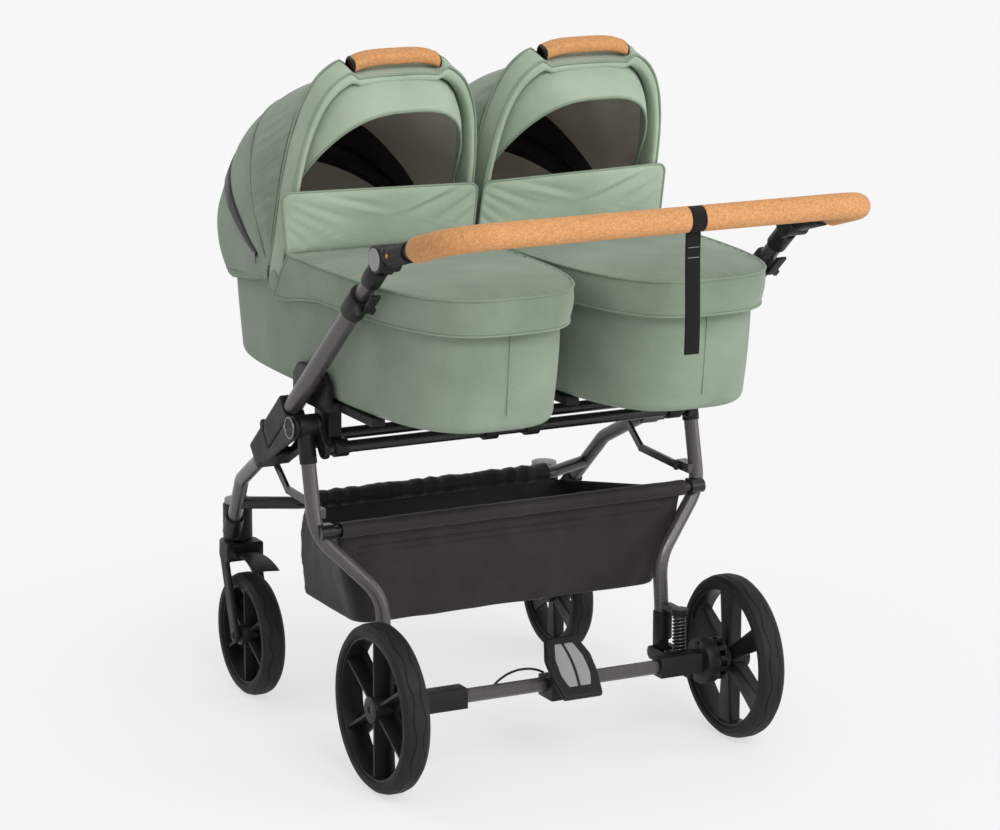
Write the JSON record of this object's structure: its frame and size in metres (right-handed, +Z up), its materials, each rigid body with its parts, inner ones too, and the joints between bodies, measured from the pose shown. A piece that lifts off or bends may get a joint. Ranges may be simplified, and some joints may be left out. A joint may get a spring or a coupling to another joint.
{
  "type": "twin pram",
  "caption": "Side-by-side pram with fabric carrycots and hoods on a folding tube frame, cork grips, swivelling front castors, sprung rear axle, foot brake and under-basket.",
  "frame": {"origin": "on the ground under the middle of the pram's overall length and width", "axes": "+Y the way the pram is pushed, +X the pusher's right, +Z up"},
  "size_m": [0.782, 1.1189, 1.1745],
  "materials": {
    "black_plastic": "satin moulded",
    "anthracite_tube": "powder coated dark grey",
    "black_tube": "powder coated black",
    "tyre_rubber": "matt",
    "sage_fabric": "woven",
    "cork": "fine granulated cork",
    "grey_plastic": "satin",
    "spring_steel": "bright",
    "basket_fabric": "woven",
    "mattress_fabric": "soft",
    "webbing": "woven band"
  },
  "bodies": {
    "chassis": {"front_legs": "anthracite_tube", "front_cross_tube": "black_tube", "hub_blocks": "black_plastic", "frame_caps": "grey_plastic", "cot_cross_tubes": "black_tube", "cot_adapters": "black_plastic", "castor_housings": "black_plastic"},
    "rear_frame": {"rear_legs": "anthracite_tube", "leg_fittings": "black_plastic", "basket_rail": "black_tube", "basket": "basket_fabric", "suspension_springs": "spring_steel"},
    "fold_links": {"fold_links": "black_tube"},
    "rear_axle": {"axle_tube": "anthracite_tube", "axle_housings": "black_plastic", "brake_cable": "black_plastic"},
    "brake_pedal": {"brake_pedal": "black_plastic"},
    "handle": {"arm_shoes": "black_plastic", "push_tubes": "anthracite_tube", "clamp_collars": "black_plastic"},
    "telescope": {"telescopic_tubes": "anthracite_tube", "elbow_sockets": "black_plastic"},
    "handlebar": {"elbow_heads": "black_plastic", "handlebar": "anthracite_tube", "cork_grip": "cork"},
    "wrist_strap": {"wrist_strap": "webbing"},
    "left_brake_pin": {"left_brake_pin": "spring_steel"},
    "left_rear_wheel": {"left_rear_tyre": "tyre_rubber", "left_rear_rim": "black_plastic"},
    "left_front_wheel": {"left_front_tyre": "tyre_rubber", "left_front_rim": "black_plastic"},
    "left_fork": {"left_fork": "black_plastic"},
    "left_swivel_lock": {"left_swivel_lock": "black_plastic"},
    "left_clamp_lever": {"left_clamp_lever": "black_plastic"},
    "left_elbow_button": {"left_elbow_button": "grey_plastic"},
    "left_cot": {"left_tub": "sage_fabric", "left_base_rails": "black_plastic", "left_mattress": "mattress_fabric", "left_apron": "sage_fabric", "left_hood": "sage_fabric"},
    "left_bow": {"left_hood_bow": "sage_fabric", "left_carry_handle": "cork"},
    "left_flap": {"left_wind_flap": "sage_fabric"},
    "right_brake_pin": {"right_brake_pin": "spring_steel"},
    "right_rear_wheel": {"right_rear_tyre": "tyre_rubber", "right_rear_rim": "black_plastic"},
    "right_front_wheel": {"right_front_tyre": "tyre_rubber", "right_front_rim": "black_plastic"},
    "right_fork": {"right_fork": "black_plastic"},
    "right_swivel_lock": {"right_swivel_lock": "black_plastic"},
    "right_clamp_lever": {"right_clamp_lever": "black_plastic"},
    "right_elbow_button": {"right_elbow_button": "grey_plastic"},
    "right_cot": {"right_tub": "sage_fabric", "right_base_rails": "black_plastic", "right_mattress": "mattress_fabric", "right_apron": "sage_fabric", "right_hood": "sage_fabric"},
    "right_bow": {"right_hood_bow": "sage_fabric", "right_carry_handle": "cork"},
    "right_flap": {"right_wind_flap": "sage_fabric"}
  },
  "joints": [
    {"name": "handle_fold", "type": "hinge", "parent": "chassis", "child": "handle", "pos_m": [0, 0.13984, 0.54611], "axis": [-1, 0, 0], "range_deg": [0, 165]},
    {"name": "rear_fold", "type": "hinge", "parent": "chassis", "child": "rear_frame", "pos_m": [0, 0.01796, 0.56594], "axis": [1, 0, 0], "range_deg": [0, 25], "deforming": ["basket"]},
    {"name": "link_swing", "type": "hinge", "parent": "rear_frame", "child": "fold_links", "pos_m": [0, 0.0131, 0.425], "axis": [-1, 0, 0], "range_deg": [0, 39.4]},
    {"name": "telescope", "type": "slide", "parent": "handle", "child": "telescope", "axis": [0, -0.7547, 0.6561], "range_m": [0, 0.1]},
    {"name": "handlebar_tilt", "type": "hinge", "parent": "telescope", "child": "handlebar", "pos_m": [0, -0.30382, 0.89999], "axis": [-1, 0, 0], "range_deg": [-40, 80]},
    {"name": "strap_swing", "type": "hinge", "parent": "handlebar", "child": "wrist_strap", "pos_m": [0.041, -0.54221, 0.96834], "axis": [-1, 0, 0], "range_deg": [-80, 40]},
    {"name": "left_elbow_press", "type": "slide", "parent": "handlebar", "child": "left_elbow_button", "axis": [1, 0, 0], "range_m": [0, 0.004], "stiffness_N_per_m": 500, "springref_m": -0.002},
    {"name": "left_clamp_open", "type": "hinge", "parent": "handle", "child": "left_clamp_lever", "pos_m": [-0.37, -0.23409, 0.80492], "axis": [1, 0, 0], "range_deg": [0, 90]},
    {"name": "left_cot_lift", "type": "slide", "parent": "chassis", "child": "left_cot", "axis": [0, 0, 1], "range_m": [0, 0.3]},
    {"name": "left_hood_fold", "type": "hinge", "parent": "left_cot", "child": "left_bow", "pos_m": [-0.177, 0.1761, 0.782], "axis": [-1, 0, 0], "range_deg": [0, 65], "deforming": ["left_hood"]},
    {"name": "left_flap_fold", "type": "hinge", "parent": "left_cot", "child": "left_flap", "pos_m": [-0.177, 0.1121, 0.838], "axis": [1, 0, 0], "range_deg": [0, 60]},
    {"name": "left_rear_spin", "type": "hinge", "parent": "rear_axle", "child": "left_rear_wheel", "pos_m": [-0.33, -0.2039, 0.14], "axis": [1, 0, 0], "continuous": true},
    {"name": "left_castor_swivel", "type": "hinge", "parent": "chassis", "child": "left_fork", "pos_m": [-0.306, 0.4361, 0.3], "axis": [0, 0, 1], "continuous": true},
    {"name": "left_front_spin", "type": "hinge", "parent": "left_fork", "child": "left_front_wheel", "pos_m": [-0.306, 0.3811, 0.109], "axis": [1, 0, 0], "continuous": true},
    {"name": "left_lock_lift", "type": "hinge", "parent": "left_fork", "child": "left_swivel_lock", "pos_m": [-0.306, 0.3941, 0.25], "axis": [-1, 0, 0], "range_deg": [0, 15]},
    {"name": "left_brake_slide", "type": "slide", "parent": "rear_axle", "child": "left_brake_pin", "axis": [-1, 0, 0], "range_m": [0, 0.007]},
    {"name": "right_elbow_press", "type": "slide", "parent": "handlebar", "child": "right_elbow_button", "axis": [-1, 0, 0], "range_m": [0, 0.004], "stiffness_N_per_m": 500, "springref_m": -0.002},
    {"name": "right_clamp_open", "type": "hinge", "parent": "handle", "child": "right_clamp_lever", "pos_m": [0.37, -0.23409, 0.80492], "axis": [1, 0, 0], "range_deg": [0, 90]},
    {"name": "right_cot_lift", "type": "slide", "parent": "chassis", "child": "right_cot", "axis": [0, 0, 1], "range_m": [0, 0.3]},
    {"name": "right_hood_fold", "type": "hinge", "parent": "right_cot", "child": "right_bow", "pos_m": [0.177, 0.1761, 0.782], "axis": [-1, 0, 0], "range_deg": [0, 65], "deforming": ["right_hood"]},
    {"name": "right_flap_fold", "type": "hinge", "parent": "right_cot", "child": "right_flap", "pos_m": [0.177, 0.1121, 0.838], "axis": [1, 0, 0], "range_deg": [0, 60]},
    {"name": "right_rear_spin", "type": "hinge", "parent": "rear_axle", "child": "right_rear_wheel", "pos_m": [0.33, -0.2039, 0.14], "axis": [1, 0, 0], "continuous": true},
    {"name": "right_castor_swivel", "type": "hinge", "parent": "chassis", "child": "right_fork", "pos_m": [0.306, 0.4361, 0.3], "axis": [0, 0, 1], "continuous": true},
    {"name": "right_front_spin", "type": "hinge", "parent": "right_fork", "child": "right_front_wheel", "pos_m": [0.306, 0.3811, 0.109], "axis": [1, 0, 0], "continuous": true},
    {"name": "right_lock_lift", "type": "hinge", "parent": "right_fork", "child": "right_swivel_lock", "pos_m": [0.306, 0.3941, 0.25], "axis": [-1, 0, 0], "range_deg": [0, 15]},
    {"name": "right_brake_slide", "type": "slide", "parent": "rear_axle", "child": "right_brake_pin", "axis": [1, 0, 0], "range_m": [0, 0.007]},
    {"name": "suspension", "type": "hinge", "parent": "rear_frame", "child": "rear_axle", "pos_m": [0, -0.0739, 0.122], "axis": [-1, 0, 0], "range_deg": [0, 6.3], "stiffness_Nm_per_rad": 60, "springref_deg": -20.05, "deforming": ["suspension_springs"]},
    {"name": "brake_press", "type": "hinge", "parent": "rear_axle", "child": "brake_pedal", "pos_m": [0, -0.2259, 0.166], "axis": [1, 0, 0], "range_deg": [0, 20]}
  ],
  "couplings": [
    {"joint": "rear_fold", "follows": "handle_fold", "ratio": 0.15152},
    {"joint": "link_swing", "follows": "handle_fold", "ratio": 0.23879},
    {"joint": "strap_swing", "follows": "handlebar_tilt", "ratio": -1},
    {"joint": "left_brake_slide", "follows": "brake_press", "m_per_rad": 0.020044},
    {"joint": "right_brake_slide", "follows": "brake_press", "m_per_rad": 0.020044}
  ]
}
